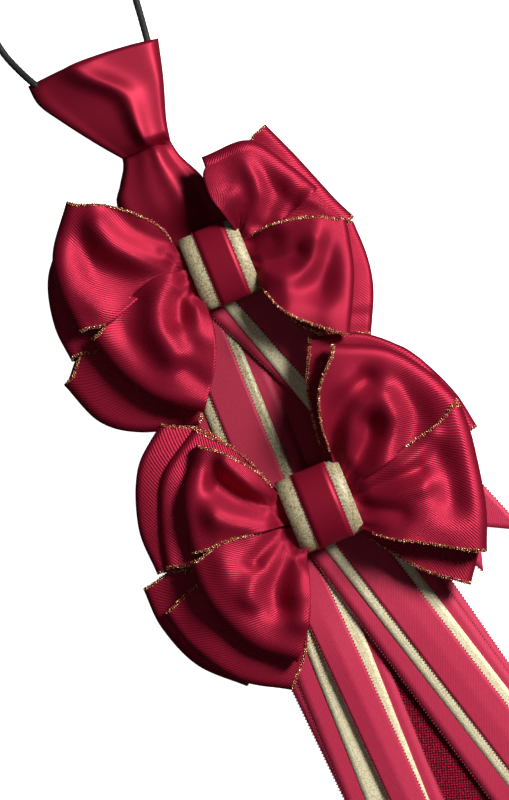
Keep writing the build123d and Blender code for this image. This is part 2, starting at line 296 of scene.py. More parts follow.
# %% The floor
FLOOR_HALF = 3
glow = floor_paint.node_tree.nodes["Principled BSDF"].inputs
glow["Emission Color"].default_value = (1, 1, 1, 1)
glow["Emission Strength"].default_value = 1.15
floor_mesh = bpy.data.meshes.new("floor")
floor_mesh.from_pydata([(x * FLOOR_HALF, y * FLOOR_HALF, 0) for x, y in ((-1, -1), (1, -1), (1, 1), (-1, 1))],
                       [], [(0, 1, 2, 3)])
floor_mesh.materials.append(floor_paint)
floor = in_scene("floor", floor_mesh)
floor.visible_diffuse = False
floor.visible_glossy = False
print("a white floor,", 2 * FLOOR_HALF, "m wide, that lights nothing")

# %% [markdown]
# ## Cloth as a grid
# Every ribbon, loop and panel starts as rows and columns of points: rows run along the cloth and
# columns across it. One helper turns such a grid into a mesh with a UV map that holds real metres,
# so that all twill lines come out at one size. A smooth line through a few chosen points gives the
# edges, and a thin Solidify gives the cloth its body.

# %% Lines and grids


def smooth_line(points, count):
    """Evenly spread points on a smooth line through the given ones."""
    pts = [Vector(p) for p in points]
    pts = [2 * pts[0] - pts[1], *pts, 2 * pts[-1] - pts[-2]]
    fine = []
    for a, b, c, d in zip(pts, pts[1:], pts[2:], pts[3:]):
        for step in range(24):
            s = step / 24
            fine.append(0.5 * (2 * b + (c - a) * s + (2 * a - 5 * b + 4 * c - d) * s ** 2
                               + (3 * b - a - 3 * c + d) * s ** 3))
    fine.append(pts[-2])
    runs = [0.0]
    for p, q in zip(fine, fine[1:]):
        runs.append(runs[-1] + (q - p).length)
    line, k = [], 0
    for i in range(count):
        want = runs[-1] * i / (count - 1)
        while k < len(runs) - 2 and runs[k + 1] < want:
            k += 1
        span = runs[k + 1] - runs[k] or 1.0
        line.append(fine[k].lerp(fine[k + 1], min(1.0, (want - runs[k]) / span)))
    return line


def line_length(line):
    return sum((q - p).length for p, q in zip(line, line[1:]))


def ease(x):
    x = min(1.0, max(0.0, x))
    return x * x * (3 - 2 * x)


def bell(x, width):
    return math.exp(-(x / width) ** 2)


def smooth_faces(mesh):
    for face in mesh.polygons:
        face.use_smooth = True


def cloth_piece(name, verts, faces, uvs, material):
    """A smooth-shaded piece; its UV map, if any, gives each point a place on the cloth."""
    mesh = bpy.data.meshes.new(name)
    mesh.from_pydata(verts, [], faces)
    if uvs:
        layer = mesh.uv_layers.new(name="cloth")
        for loop in mesh.loops:
            layer.data[loop.index].uv = uvs[loop.vertex_index]
    mesh.materials.append(material)
    smooth_faces(mesh)
    return in_scene(name, mesh)


def thicken(piece, thick):
    """Gives cloth a thin body, half to each side."""
    body = piece.modifiers.new("body", "SOLIDIFY")
    body.thickness = thick * MM
    body.offset = 0.0
    return body


def cloth_mesh(name, grids, width, thick, material, back=None):
    """One mesh from grids of millimetre points, with a UV map in metres and a thin body."""
    verts, faces, uvs = [], [], []
    for rows in grids:
        base = len(verts)
        columns = len(rows[0])
        middle = columns // 2
        along = [0.0]
        for p, q in zip(rows, rows[1:]):
            along.append(along[-1] + (q[middle] - p[middle]).length)
        for r, row in enumerate(rows):
            verts.extend(p * MM for p in row)
            uvs.extend((width * c / (columns - 1) * MM, along[r] * MM) for c in range(columns))
        for r in range(len(rows) - 1):
            for c in range(columns - 1):
                a = base + r * columns + c
                faces.append((a, a + 1, a + columns + 1, a + columns))
    piece = cloth_piece(name, verts, faces, uvs, material)
    body = thicken(piece, thick)
    if back:
        piece.data.materials.append(back)
        body.material_offset = 1
    return piece


def face_out(mesh):
    """Turns the faces of a closed form outward and gives its volume in cubic centimetres."""
    shell = bmesh.new()
    shell.from_mesh(mesh)
    bmesh.ops.recalc_face_normals(shell, faces=shell.faces)
    volume = shell.calc_volume() * 1e6
    shell.to_mesh(mesh)
    shell.free()
    return volume


def face_up(rows):
    """Turns a grid over if its faces would point down."""
    r, c = len(rows) // 4, len(rows[0]) // 2
    across = rows[r][c + 1] - rows[r][c]
    along = rows[r + 1][c] - rows[r][c]
    return rows if across.cross(along).z > 0 else [row[::-1] for row in rows]


def dress(piece, body, slot, *nodes):
    """Rides the piece on its body and hides the CAD solids it stands for; the slot it is given is not used.
    """
    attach(piece, body)
    if nodes:
        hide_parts(*nodes)


print("cloth helpers are ready; all their points are in millimetres")

# %% [markdown]
# ## Stitches and teeth along an edge
# Satin ribbon has a picot selvedge, a row of tiny thread loops, and the bow ribbon is edged with
# metallic thread. Both are the same idea: one small grain repeated along a line. A Geometry Nodes
# tree does that best, because the spacing, the grain's size and its wobble stay named inputs. The
# line goes in as bare mesh edges, and the result is made a plain mesh at the end.

# %% The tree that repeats a grain along a line


def new_tree(name, **inputs):
    """A node group with geometry and named inputs going in, and geometry coming out."""
    tree = bpy.data.node_groups.new(name, "GeometryNodeTree")
    for label, kind in {"Geometry": "Geometry", **inputs}.items():
        tree.interface.new_socket(label, in_out="INPUT", socket_type=f"NodeSocket{kind}")
    tree.interface.new_socket("Geometry", in_out="OUTPUT", socket_type="NodeSocketGeometry")
    return tree, node(tree, "NodeGroupInput").outputs


def end_tree(tree, shape, given):
    """Ends a tree: real geometry instead of instances, with the given material on it."""
    real = node(tree, "GeometryNodeRealizeInstances", {"Geometry": shape})
    paint = node(tree, "GeometryNodeSetMaterial", {"Geometry": real.outputs["Geometry"],
                                                   "Material": given["Material"]})
    node(tree, "NodeGroupOutput", {"Geometry": paint.outputs["Geometry"]})
    print(tree.name, "has", len(tree.nodes), "nodes")
    return tree


def grain_tree():
    tree, given = new_tree("grain along a line", Spacing="Float", Length="Float", Width="Float",
                           Wobble="Float", Seed="Int", Material="Material")
    curve = node(tree, "GeometryNodeMeshToCurve", {"Mesh": given["Geometry"]})
    points = node(tree, "GeometryNodeCurveToPoints", {"Curve": curve.outputs["Curve"],
                                                      "Length": given["Spacing"]}, mode="LENGTH")
    grain = node(tree, "GeometryNodeMeshUVSphere", {"Segments": 6, "Rings": 4, "Radius": 0.5})
    size = node(tree, "ShaderNodeCombineXYZ", {"X": given["Width"], "Y": given["Width"],
                                               "Z": given["Length"]})
    minus = node(tree, "ShaderNodeMath", {0: given["Wobble"], 1: -1.0}, operation="MULTIPLY")
    wobble = node(tree, "FunctionNodeRandomValue", {
        "Min": minus.outputs["Value"], "Max": given["Wobble"], "Seed": given["Seed"]},
        data_type="FLOAT_VECTOR")
    turn = node(tree, "FunctionNodeRotateRotation", {
        "Rotation": points.outputs["Rotation"], "Rotate By": wobble.outputs["Value"]},
        rotation_space="LOCAL")
    spread = node(tree, "GeometryNodeInstanceOnPoints", {
        "Points": points.outputs["Points"], "Instance": grain.outputs["Mesh"],
        "Rotation": turn.outputs["Rotation"], "Scale": size.outputs["Vector"]})
    return end_tree(tree, spread.outputs["Instances"], given)


def grow(name, verts, edges, tree, **values):
    """Runs a tree on bare mesh edges, with its inputs set by name; the result is a plain mesh."""
    mesh = bpy.data.meshes.new(name)
    mesh.from_pydata(verts, edges, [])
    piece = in_scene(name, mesh)
    modifier = piece.modifiers.new("grow", "NODES")
    modifier.node_group = tree
    for socket in tree.interface.items_tree:
        if socket.in_out == "INPUT" and socket.name in values:
            modifier[socket.identifier] = values[socket.name]
    done = piece.evaluated_get(bpy.context.evaluated_depsgraph_get())
    mesh = bpy.data.meshes.new_from_object(done)
    piece.modifiers.clear()
    piece.data = mesh
    smooth_faces(mesh)
    return piece


GRAIN = grain_tree()


def grains(name, lines, material, spacing, length, width, wobble=0.0, seed=1):
    """Grains of thread along lines of millimetre points, as one plain mesh."""
    verts, edges = [], []
    for line in lines:
        base = len(verts)
        verts.extend(Vector(p) * MM for p in line)
        edges.extend((base + i, base + i + 1) for i in range(len(line) - 1))
    return grow(name, verts, edges, GRAIN, Spacing=spacing * MM, Length=length * MM, Width=width * MM,
                Wobble=wobble, Seed=seed, Material=material)


# %% [markdown]
# ## The neck cord
# A braided elastic cord, three millimetres thick, goes through the top of the knot. On the body it
# makes a loop about as long as a collar needs; here its spare length is wound into a small coil above
# the knot. Its route is one smooth NURBS line through points that repeat the CAD route, and the braid
# is a tube round that line, with a relief where the strands pass over each other.

# %% The cord's route
CORD_EXIT = (-43.6, 102.0, 8.0)
COIL_MIDDLE = (-32.0, 157.0)
COIL_R = 15.5
COIL_TURNS = 2.25
COIL_STEPS = 12
COIL_RISE = 3.05
FLOOR_LEVEL = 1.6
route = [(-41.0, 97.5, 8.4), CORD_EXIT, (-46.9, 109.5, 4.0), (-50.0, 118.0, 1.7), (-52.0, 132.0, 1.6),
         (-47.4, 146.5, 1.6)]
for step in range(1, int(COIL_TURNS * COIL_STEPS)):
    turn = math.pi - 2 * math.pi * step / COIL_STEPS
    route.append((COIL_MIDDLE[0] + COIL_R * math.cos(turn), COIL_MIDDLE[1] + COIL_R * math.sin(turn),
                  FLOOR_LEVEL + COIL_RISE * step / COIL_STEPS))
route += [(-21.5, 172.0, 7.9), (-6, 169, 5), (7, 158, 1.9), (12.8, 143, 1.6), (11.6, 127, 1.6),
          (10.4, 114, 3.2), (8.8, 100.6, 8.2), (8.2, 95.5, 8.4)]
line_data = bpy.data.curves.new("cord line", "CURVE")
line_data.dimensions = "3D"
spline = line_data.splines.new("NURBS")
spline.points.add(len(route) - 1)
for point, place in zip(spline.points, route):
    point.co = (place[0] * MM, place[1] * MM, place[2] * MM, 1)
spline.order_u = 3
spline.use_endpoint_u = True
spline.resolution_u = 16
line_object = bpy.data.objects.new("cord line", line_data)
cord_line = [v.co.copy() for v in bpy.data.meshes.new_from_object(line_object).vertices]
bpy.data.objects.remove(line_object)
cord_length = line_length(cord_line)
print("the cord is", round(cord_length, 4), "m long, from", len(route), "points")

# %% The braid
CORD_R = 1.5
CORD_SIDES = 24
STRANDS = 6
BRAID_PITCH = 5.0
BRAID_STEP = 0.42


def braided_tube(name, line, material):
    """A tube round the line whose skin rises and falls as a braid does."""
    centres = smooth_line([p / MM for p in line[::3]] + [line[-1] / MM], int(cord_length / MM / BRAID_STEP))
    verts, faces = [], []
    run = 0.0
    for i, centre in enumerate(centres):
        ahead = (centres[min(i + 1, len(centres) - 1)] - centres[max(i - 1, 0)]).normalized()
        side = ahead.cross(Vector((0, 0, 1))).normalized()
        top = side.cross(ahead)
        if i:
            run += (centre - centres[i - 1]).length
        for k in range(CORD_SIDES):
            turn = 2 * math.pi * k / CORD_SIDES
            slope = 2 * math.pi * run / BRAID_PITCH
            weave = math.cos(STRANDS * turn + slope) * math.cos(STRANDS * turn - slope)
            r = CORD_R * (0.97 + 0.055 * weave)
            verts.append((centre + side * (r * math.cos(turn)) + top * (r * math.sin(turn))) * MM)
        if i:
            a = (i - 1) * CORD_SIDES
            for k in range(CORD_SIDES):
                k1 = (k + 1) % CORD_SIDES
                faces.append((a + k, a + k1, a + CORD_SIDES + k1, a + CORD_SIDES + k))
    faces.append(tuple(reversed(range(CORD_SIDES))))
    faces.append(tuple(len(verts) - CORD_SIDES + k for k in range(CORD_SIDES)))
    piece = cloth_piece(name, verts, faces, None, material)
    print(name, "has", len(faces), "faces and", round(face_out(piece.data), 2), "cm3")
    return piece


neck_cord = braided_tube("neck_cord", cord_line, elastic_black)
dress(neck_cord, "tie", "elastic_cord", "neck_cord_left", "neck_cord_right", "neck_cord_coil",
      "cord_inside_knot")

# %% [markdown]
# ## Bow loops
# A bow loop is a strip that leaves the waist gathered, opens to its full width, folds over at its far
# end and comes back underneath. It could be draped with the cloth simulator, but the loops here must
# lie as they do on this bow, so each is laid out one by one: two edges, the fold at the end, and four
# levels. The surface between them is a blend of the four sides, which then rolls over the fold and
# returns below. Soft ridges and valleys run along given lines and make it look like satin.

# %% One loop as a grid
TOP_ROWS = 40
ROLL_ROWS = 9
UNDER_ROWS = 22
COLUMNS = 45
TUCK_X, TUCK_Y = 0.45, 0.9
FOLD_HEIGHT, FOLD_WIDTH = 0.74, 1.12
GATHERS_OVER, GATHERS_UNDER = 4.5, 6
GATHER_HEIGHT = 0.4
WAVES = 1.6
CLOTH_GAP = 0.7


def loop_grid(middle_y, seed, a, b, fold, levels, pleats=(), folds=(), under=(0, 0), hollow=1.5):
    """Rows of points over the top of a loop, round its fold and back beneath."""
    waist, rim, crown, roll = levels
    creases = [(high, wide, smooth_line(points, 26)) for high, wide, points in folds]
    end = smooth_line(fold, COLUMNS)
    outward = []
    for c, p in enumerate(end):
        ahead = end[min(c + 1, COLUMNS - 1)] - end[max(c - 1, 0)]
        side = Vector((ahead.y, -ahead.x)).normalized()
        outward.append(side if side.dot(p) > 0 else -side)
    end = [p - out * roll for p, out in zip(end, outward)]
    line_a, line_b = (smooth_line([(edge[0][0] * TUCK_X, edge[0][1] * TUCK_Y), *edge, last], TOP_ROWS)
                      for edge, last in ((a, end[0]), (b, end[-1])))

    def plan(r, c):
        """Where a point lies, seen from above: a blend of the two edges, the waist and the fold."""
        t = c / (COLUMNS - 1)
        k = r * (TOP_ROWS - 1)
        low = min(int(k), TOP_ROWS - 2)
        at_a = line_a[low].lerp(line_a[low + 1], k - low)
        at_b = line_b[low].lerp(line_b[low + 1], k - low)
        flat = line_a[0].lerp(line_b[0], t) * (1 - r) + end[c] * r
        corners = (line_a[0].lerp(line_b[0], t)) * (1 - r) + (line_a[-1].lerp(line_b[-1], t)) * r
        return at_a.lerp(at_b, t) + flat - corners

    def level(r, t, p):
        """How high a point of the upper side lies, r of the way out and t of the way across."""
        z = waist + (rim - waist) * ease(r / 0.55)
        arch = math.sin(math.pi * t) ** 0.8
        z += crown * arch * bell(r - 0.84, 0.24) - hollow * arch * bell(r - 0.45, 0.22)
        z -= 0.018 * (1 - ease(r / 0.35)) * (line_a[0].lerp(line_b[0], t).y * 1.1) ** 2
        for at_waist, at_fold, high, wide, reach in pleats:
            strength = ease((r - 0.09) / 0.22) * max(0.0, 1 - r / reach) ** 0.9
            z += high * strength * bell(t - at_waist - (at_fold - at_waist) * r, wide)
        for high, wide, line in creases:
            near = math.sqrt(min((p - q).length_squared for q in line))
            strength = ease((r - (0.14 if high > 0 else 0.10)) / 0.16) * (1 - 0.7 * ease((r - 0.8) / 0.2))
            z += FOLD_HEIGHT * high * strength * bell(near, FOLD_WIDTH * wide)
        strength = ease((r - 0.08) / 0.1) * (1 - ease(r / 0.5))
        z += GATHER_HEIGHT * strength * math.cos(2 * math.pi * (GATHERS_OVER * t + 0.37 * seed))
        return z + WAVES * r * noise.noise(Vector((r * 2.6 + seed * 7.3, t * 3.0, seed * 1.7)))

    drop = 2 * roll
    sag = Vector(under)
    rows = []
    for k in range(TOP_ROWS):
        r = k / (TOP_ROWS - 1)
        row = []
        for c in range(COLUMNS):
            floor_z = waist - 1.6 + (rim - drop - waist + 1.6) * ease((r - 0.5) / 0.5)
            p = plan(r, c)
            z = level(r, c / (COLUMNS - 1), p)
            over = z - floor_z - CLOTH_GAP
            z = floor_z + CLOTH_GAP + 0.5 * (over + math.hypot(over, 1.5))
            row.append(Vector((p.x, p.y + middle_y, z)))
        rows.append(row)
    for k in range(1, ROLL_ROWS):
        angle = math.pi * k / ROLL_ROWS
        row = []
        for c in range(COLUMNS):
            p = rows[TOP_ROWS - 1][c]
            out = outward[c] * (roll * math.sin(angle)) + sag * (k / ROLL_ROWS)
            row.append(Vector((p.x + out.x, p.y + out.y, p.z - roll * (1 - math.cos(angle)))))
        rows.append(row)
    for k in range(UNDER_ROWS):
        r = 1 - k / (UNDER_ROWS - 1)
        row = []
        for c in range(COLUMNS):
            last = rows[TOP_ROWS - 1][c].z
            p = plan(r, c) * (0.985 + 0.015 * (1 - r)) + sag * r
            rise = ease((r - 0.5) / 0.5)
            z = (last - drop) * rise + (waist - 3.6) * (1 - rise)
            z += 2.2 * (1 - r) * math.cos(2 * math.pi * (GATHERS_UNDER * c / (COLUMNS - 1) + 0.31 * seed))
            row.append(Vector((p.x, p.y + middle_y, z)))
        rows.append(row)
    return face_up(rows)


# %% [markdown]
# ## The loops of each bow
# A bow ribbon is a figure of eight, so each piece here is two opposite loops, with edges a and b.
# The points are millimetres from the bow's middle. The levels are the waist, the top of the fold, the
# crown's height and the roll's radius. Each of the folds says how high it stands (a negative one is a
# valley), how wide it is and which points it passes. The back loops have simple pleats instead: where
# each starts and ends across the cloth, how high and wide it is and how far out it reaches. The gold
# entry names the edges with metallic thread and the row where it starts.

# %% Loops laid out one by one
UPPER_LOOPS = {
    "upper_back_ribbon_a": [
        dict(a=[(-12, 8), (-32, 24)], b=[(-12, -6), (-42, -17)],
            fold=[(-54, 38), (-67, 23), (-72, 4), (-71, -13)], levels=(11.5, 14.0, 1.0, 2.8),
            pleats=[(0.5, 0.5, 2, 0.15, 0.8)], under=(-1.0, -2.0)),
        dict(a=[(12, 2), (36, -2)], b=[(12, -12), (24, -38)],
            fold=[(60, -4), (60, -20), (57, -34), (49, -51)], levels=(11.5, 12.8, 1.0, 2.5),
            pleats=[(0.8, 0.75, 2.6, 0.07, 1.4), (0.92, 0.9, 2.0, 0.05, 1.4)])],
    "upper_back_ribbon_b": [
        dict(a=[(-12, -1), (-38, -5), (-62, -9)], b=[(-11, -8), (-15, -30)],
            fold=[(-76, -21), (-68, -41), (-53, -52), (-30, -58)], levels=(11.5, 12.4, 0.8, 2.4),
            pleats=[(0.6, 0.6, 2, 0.15, 0.9)], under=(-4.0, -1.5)),
        dict(a=[(12, 12), (24, 37), (33, 44)], b=[(13, 1), (43, 3.5)],
            fold=[(40, 47), (48, 27), (55, 8), (60, -3)], levels=(11.5, 14.0, 1.5, 3.0),
            pleats=[(0.3, 0.35, 3, 0.1, 1.5), (0.75, 0.7, 2, 0.1, 1.2)], under=(2.0, 1.0))],
    "upper_front_ribbon_a": [
        dict(a=[(-12, 9), (-16, 24), (-31, 39)], b=[(-12, -1), (-32, 0), (-50, -6)],
            fold=[(-48, 48), (-61, 31), (-65, 15), (-64, -5)], levels=(17.6, 25.0, 2.0, 4.5),
            hollow=1.0, gold={"a": 10, "b": 34}, folds=[
            (-9, 8.0, [(-18, 3), (-30, 5), (-42, 12), (-50, 22), (-53, 34)]),
            (6, 5.5, [(-15, 7), (-27, 13), (-36, 22), (-41, 34)]),
            (-4, 4.5, [(-20, 17), (-27, 26), (-33, 38)]), (2.5, 6.0, [(-54, 2), (-60, 12), (-60, 26)])]),
        dict(a=[(13, 6), (28, 7), (43, 4)], b=[(12, -11), (17, -26), (24, -35)],
            fold=[(57, -2), (55, -12), (51, -26), (40, -48)], levels=(16.5, 27.0, 2.0, 3.0),
            hollow=2.0, folds=[
            (-5, 4.0, [(15, 4), (20, 2), (25, 1)]), (3, 5.0, [(16, -1), (30, -2), (44, -2)]),
            (-4, 3.5, [(17, -6), (27, -8), (33, -8)]),
            (4, 4.0, [(15, -7), (21, -14), (29, -17), (37, -13), (42, -7)]),
            (-7, 9.0, [(36, -24), (46, -17)]), (3, 6.0, [(24, -27), (38, -36)])])],
    "upper_front_ribbon_b": [
        dict(a=[(-12, 3), (-27, 4.5), (-46, -2)], b=[(-10, -11), (-11, -24), (-16, -38)],
            fold=[(-60, -9), (-55, -26), (-45, -42), (-28, -55)], levels=(17.6, 24.5, 2.0, 4.6),
            hollow=1.0, gold={"a": 25}, folds=[
            (6, 5.5, [(-14, 1), (-23, 0), (-30, -6), (-32, -16), (-30, -27)]),
            (-6, 4.0, [(-12, -5), (-19, -8), (-23, -15)]), (-6, 9.0, [(-38, -3), (-45, -14), (-47, -28)]),
            (3, 5.0, [(-13, -11), (-17, -24)]), (-2.5, 4.0, [(-28, -36), (-24, -46)])]),
        dict(a=[(12.5, 9), (10.5, 18), (8, 27), (8.5, 36)], b=[(13, 5), (30, 7)],
            fold=[(11, 44), (32, 43), (44, 27), (51, 14)], gold={}, levels=(16.8, 24.5, 2.0, 4.6),
            hollow=1.0, folds=[
            (4, 3.5, [(17, 9), (24, 15), (28, 25), (28, 38)]),
            (-8, 7.0, [(24, 8), (34, 16), (37, 26), (36, 34)]), (2, 4.0, [(17, 17), (18, 23)]),
            (-2, 4.0, [(17, 30), (19, 38)]), (4, 2.5, [(38, 4), (44, 9), (52, 15)]),
            (-4, 2.5, [(36, 8), (42, 13), (47, 19)])])],
}
LOWER_LOOPS = {
    "lower_back_ribbon_a": [
        dict(a=[(-12, 13), (-28, 45)], b=[(-12, -5), (-45, -9)],
            fold=[(-46, 57), (-62, 43), (-71, 20), (-71, -1)], levels=(15.5, 19.0, 0.8, 2.2),
            under=(-1, 0)),
        dict(a=[(13, 0), (44, 6)], b=[(12, -14), (28, -34)],
            fold=[(62, 12), (66, -8), (60, -28), (48, -47)], levels=(15.5, 16.0, 0.8, 2.6))],
    "lower_back_ribbon_b": [
        dict(a=[(-12, 3), (-45, 3)], b=[(-11, -14), (-32, -44)],
            fold=[(-79, -4), (-78, -22), (-70, -42), (-54, -58)], levels=(14.5, 16.0, 0.8, 2.6),
            under=(-1, -1)),
        dict(a=[(12, 14), (26, 44)], b=[(13, 0), (46, 5)],
            fold=[(46, 58), (60, 47), (71, 25), (75, 6)], levels=(14.5, 18.0, 1.0, 2.6),
            pleats=[(0.6, 0.6, 2, 0.1, 1.4)], under=(1, 0))],
    "lower_middle_ribbon_a": [
        dict(a=[(-12, 13), (-20, 33)], b=[(-12, -3), (-42, -6)],
            fold=[(-34, 50), (-54, 36), (-63, 16), (-67, 0)], levels=(19.0, 22.5, 1.6, 2.8),
            pleats=[(0.7, 0.7, 2.5, 0.12, 1.3)]),
        dict(a=[(13, 0), (42, 4)], b=[(12, -15), (30, -39)],
            fold=[(66, 8), (68, -14), (60, -36), (48, -54)], levels=(18.5, 20.5, 1.0, 2.8),
            pleats=[(0.85, 0.85, 2.0, 0.1, 1.3)])],
    "lower_middle_ribbon_b": [
        dict(a=[(-12, -3), (-40, -7), (-59, -11)], b=[(-11, -14), (-24, -50)],
            fold=[(-75, -17), (-70, -34), (-57, -54), (-37, -67)], levels=(17.5, 21.0, 1.8, 3.2),
            pleats=[(0.5, 0.5, 2.5, 0.15, 1.3)]),
        dict(a=[(10, 16), (15, 46)], b=[(13, 1), (48, 12)],
            fold=[(24, 67), (46, 60), (63, 43), (71, 23)], levels=(17.5, 19.2, 0.8, 2.2))],
    "lower_front_ribbon_a": [
        dict(a=[(-12, 12), (-17, 24), (-28, 37)], b=[(-12, -2), (-28, 0), (-42, 1)],
            fold=[(-36, 43), (-48, 27), (-53, 14), (-55, 2)], levels=(25.0, 31.5, 2.0, 4.8),
            hollow=1.0, gold={"a": 10, "b": 20}, folds=[
            (-10, 5.0, [(-13, 4), (-23, 10), (-31, 19), (-36, 32)]),
            (4, 4.0, [(-15, 10), (-21, 19), (-28, 32)]), (6, 6.0, [(-22, 4), (-36, 11), (-45, 18)]),
            (-4, 6.0, [(-41, 24), (-44, 34)])]),
        dict(a=[(13, 3), (38, 9), (60, 14)], b=[(12, -13), (22, -22), (36, -30)],
            fold=[(72, 18), (71, 2), (66, -24), (59, -43)], levels=(23.6, 32.0, 3.0, 4.8),
            hollow=2.0, gold={"a": 24, "b": 10}, folds=[
            (4, 4.0, [(15, 3), (30, 2), (45, 4), (56, 10)]), (-4, 3.5, [(18, -3), (32, -1), (45, -1)]),
            (4, 4.0, [(16, -3), (30, -6), (44, -7)]), (-8, 9.0, [(54, 2), (58, -8), (56, -18)]),
            (-3, 3.0, [(16, -5), (24, -10), (32, -15)]), (3, 7.0, [(26, -18), (44, -24), (56, -30)])])],
    "lower_front_ribbon_b": [
        dict(a=[(-13, -3), (-28, 0.5), (-42, 2)], b=[(-10, -15), (-14, -28), (-20, -42)],
            fold=[(-57, -1), (-56, -20), (-47, -42), (-31, -56)], levels=(25.0, 32.0, 2.0, 4.8),
            hollow=1.0, gold={"a": 16}, folds=[
            (-7, 3.5, [(-12, -3), (-21, -6), (-31, -11)]),
            (4, 4.5, [(-14, -7), (-27, -13), (-36, -19), (-40, -24)]),
            (-8, 5.5, [(-13, -10), (-21, -17), (-28, -25), (-30, -31)]),
            (4, 4.5, [(-12, -14), (-18, -25), (-23, -40)]), (-4, 6.0, [(-44, -30), (-38, -44)]),
            (3, 7.0, [(-45, -8), (-49, -18)])]),
        dict(a=[(13.5, 14), (15, 32), (20, 46)], b=[(13, 2), (35, 6.5), (58, 12)],
            fold=[(32, 61), (52, 51), (65, 35), (72, 20)], levels=(23.8, 31.5, 2.5, 4.8),
            hollow=1.0, gold={"a": 10, "b": 28}, folds=[
            (-7, 4.5, [(14, 17), (20, 29), (28, 36), (40, 41)]),
            (4, 5.5, [(15, 10), (19, 17), (25, 26), (33, 33)]),
            (-7, 4.5, [(16, 7), (24, 11), (31, 18), (34, 23)]),
            (6, 5.5, [(18, 5), (30, 8), (39, 14), (43, 22), (44, 32)]),
            (-7, 8.0, [(47, 11), (54, 21), (54, 34)]), (-3, 6.0, [(42, 45), (52, 44)])])],
}
FRONT_W, BACK_W = 56.0, 50.0


def bow_loops(body, middle_y, table, seed):
    """All loop ribbons of a bow, with the metallic thread along their edges."""
    for name, loops in table.items():
        grids = []
        for loop in loops:
            shape = {key: value for key, value in loop.items() if key != "gold"}
            grids.append(loop_grid(middle_y, seed, **shape))
            seed += 1
        width = BACK_W if "back" in name else FRONT_W
        piece = cloth_mesh(name, grids, width, 0.3, bow_satin, wrong_side)
        dress(piece, body, "bow_satin", name.replace("ribbon", "loop"))
        lines = []
        for grid, loop in zip(grids, loops):
            for edge, first in loop.get("gold", {"a": 10, "b": 10}).items():
                corner = Vector((0, middle_y)) + Vector(loop[edge][1])
                side = min((0, COLUMNS - 1), key=lambda c: (grid[8][c].xy - corner).length)
                step = 1 if side == 0 else -1
                for inward, lift in ((0, 0.15), (step, 0.35)):
                    lines.append([row[side].lerp(row[side + inward], 0.55) + Vector((0, 0, lift))
                                  for row in grid[first:TOP_ROWS + 3]])
        edging = grains(name + "_edging", lines, metallic_thread_painted_glints, 1.0, 1.5, 0.5, 1.3, seed=len(name))
        dress(edging, body, "gold_glitter_ribbon")


bow_loops("upper_bow", UPPER_Y, UPPER_LOOPS, 1)
bow_loops("lower_bow", LOWER_Y, LOWER_LOOPS, 11)

# %% [markdown]
# ## The wrap
# A gold glitter band and a narrower satin band go once round the gathered waist. Their shape follows
# a rule, a flat strip along a rounded loop, so a second Geometry Nodes tree makes them: it takes the
# loop as a line, sweeps the strip's section along it and stores how far along and across each point
# is, for the weave. The satin band gets picot teeth.

# %% The tree that sweeps a band


def band_tree():
    tree, given = new_tree("band round a waist", Width="Float", Material="Material")
    path = node(tree, "GeometryNodeMeshToCurve", {"Mesh": given["Geometry"]})
    ends = []
    for share in (0.5, -0.5):
        half = node(tree, "ShaderNodeMath", {0: given["Width"], 1: share}, operation="MULTIPLY")
        ends.append(node(tree, "ShaderNodeCombineXYZ", {"X": half.outputs["Value"]}).outputs["Vector"])
    section = node(tree, "GeometryNodeCurvePrimitiveLine", {"Start": ends[0], "End": ends[1]})
    fine = node(tree, "GeometryNodeResampleCurve", {"Curve": section.outputs["Curve"], "Count": 7})
    length = node(tree, "GeometryNodeSplineParameter").outputs["Length"]
    kept = []
    for label, curve in (("along", path), ("across", fine)):
        keep = node(tree, "GeometryNodeCaptureAttribute")
        keep.capture_items.new("FLOAT", label)
        fill(tree, keep, {"Geometry": curve.outputs["Curve"], 1: length})
        kept.append(keep.outputs)
    along, across = kept
    sweep = node(tree, "GeometryNodeCurveToMesh", {"Curve": along["Geometry"],
                                                   "Profile Curve": across["Geometry"]})
    both = node(tree, "ShaderNodeCombineXYZ", {"X": across[1], "Y": along[1]})
    store = node(tree, "GeometryNodeStoreNamedAttribute", {
        "Geometry": sweep.outputs["Mesh"], "Name": "cloth", "Value": both.outputs["Vector"]},
        data_type="FLOAT2", domain="CORNER")
    return end_tree(tree, store.outputs["Geometry"], given)


BAND = band_tree()

# %% The two bands of each bow
WAIST_STEPS = 72
ROUNDING = 1.06
GOLD_OUT, SATIN_OUT = 0.3, 0.75
SATIN_SHIFT = 0.9


def waist_loop(middle_x, middle_y, low, high, half_y, out):
    """Points of a rounded loop, bulged out from the CAD wrap's size."""
    middle, half = (low + high) / 2, (high - low) / 2 + out
    line = []
    for step in range(WAIST_STEPS):
        turn = 2 * math.pi * step / WAIST_STEPS
        y = math.copysign(abs(math.cos(turn)) ** ROUNDING, math.cos(turn)) * (half_y + out)
        z = math.copysign(abs(math.sin(turn)) ** ROUNDING, math.sin(turn)) * half
        line.append(Vector((middle_x, middle_y + y, middle + z)))
    return line


def wrap_band(name, body, cad_nodes, line, width, material, slot):
    """A band swept round the loop, as one strip with a thin body, and how long it is."""
    edges = [(i, (i + 1) % len(line)) for i in range(len(line))]
    piece = grow(name, [p * MM for p in line], edges, BAND, Width=width * MM, Material=material)
    thicken(piece, 0.4)
    dress(piece, body, slot, *cad_nodes)
    round_ = line_length(line + line[:1])
    print(name, "is", width, "mm wide and", round(round_, 1), "mm round")
    return piece, round_


